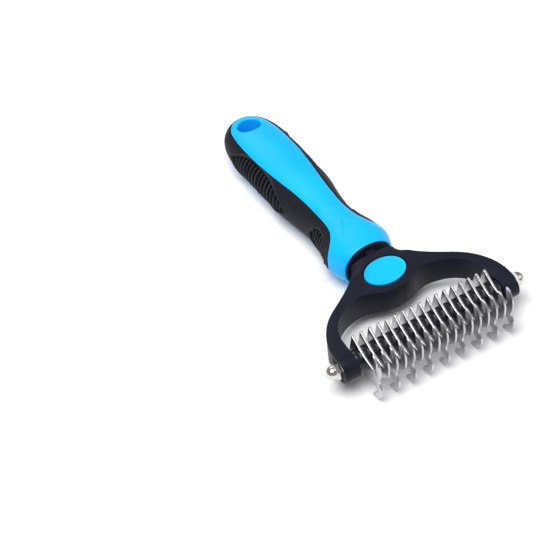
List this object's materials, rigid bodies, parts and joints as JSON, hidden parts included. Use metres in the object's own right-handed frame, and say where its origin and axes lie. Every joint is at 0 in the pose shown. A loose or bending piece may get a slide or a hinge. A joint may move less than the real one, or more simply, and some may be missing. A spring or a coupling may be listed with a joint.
{
  "type": "dematting comb",
  "caption": "Two-sided dematting comb: a forked head holds a square axle with a row of steel blades, long hooks on one side and fine teeth on the other, on a soft-grip handle.",
  "frame": {"origin": "centre of the comb's overall box", "axes": "+Y from the teeth to the end of the handle, +X along the axle, +Z from the long hooks up to the fine teeth"},
  "size_m": [0.1028, 0.1852, 0.027],
  "materials": {
    "blue_plastic": "satin moulded",
    "black_plastic": "fine moulded grain",
    "spacer_plastic": "polished",
    "black_rubber": "soft matt overmould",
    "blade_steel": "polished stainless",
    "axle_steel": "bright drawn",
    "nickel": "bright nickel plate"
  },
  "bodies": {
    "comb": {"yoke": "black_plastic", "badge_insert": "blue_plastic", "axle": "axle_steel", "hook_blade_1": "blade_steel", "hook_blade_2": "blade_steel", "hook_blade_3": "blade_steel", "hook_blade_4": "blade_steel", "hook_blade_5": "blade_steel", "hook_blade_6": "blade_steel", "hook_blade_7": "blade_steel", "hook_blade_8": "blade_steel", "hook_blade_9": "blade_steel", "short_blade_1": "blade_steel", "short_blade_2": "blade_steel", "short_blade_3": "blade_steel", "short_blade_4": "blade_steel", "short_blade_5": "blade_steel", "short_blade_6": "blade_steel", "short_blade_7": "blade_steel", "short_blade_8": "blade_steel", "spacer_1": "spacer_plastic", "spacer_2": "spacer_plastic", "spacer_3": "spacer_plastic", "spacer_4": "spacer_plastic", "spacer_5": "spacer_plastic", "spacer_6": "spacer_plastic", "spacer_7": "spacer_plastic", "spacer_8": "spacer_plastic", "spacer_9": "spacer_plastic", "spacer_10": "spacer_plastic", "spacer_11": "spacer_plastic", "spacer_12": "spacer_plastic", "spacer_13": "spacer_plastic", "spacer_14": "spacer_plastic", "spacer_15": "spacer_plastic", "spacer_16": "spacer_plastic", "end_spacer_left": "spacer_plastic", "end_spacer_right": "spacer_plastic", "handle_core": "blue_plastic", "grip_sleeve": "black_rubber"},
    "left_washer": {"washer_left": "nickel"},
    "left_nut": {"cap_nut_left": "nickel"},
    "right_washer": {"washer_right": "nickel"},
    "right_nut": {"cap_nut_right": "nickel"}
  },
  "joints": [
    {"name": "left_nut_travel", "type": "slide", "parent": "comb", "child": "left_washer", "axis": [-1, 0, 0], "range_m": [0, 0.0056]},
    {"name": "left_nut_turn", "type": "hinge", "parent": "left_washer", "child": "left_nut", "pos_m": [-0.0474, -0.07538, 0.00048], "axis": [-1, 0, 0], "range_deg": [0, 2881]},
    {"name": "right_nut_travel", "type": "slide", "parent": "comb", "child": "right_washer", "axis": [1, 0, 0], "range_m": [0, 0.0056]},
    {"name": "right_nut_turn", "type": "hinge", "parent": "right_washer", "child": "right_nut", "pos_m": [0.0474, -0.07538, 0.00048], "axis": [1, 0, 0], "range_deg": [0, 2881]}
  ],
  "couplings": [
    {"joint": "left_nut_turn", "follows": "left_nut_travel", "rad_per_m": 8976},
    {"joint": "right_nut_turn", "follows": "right_nut_travel", "rad_per_m": 8976}
  ]
}
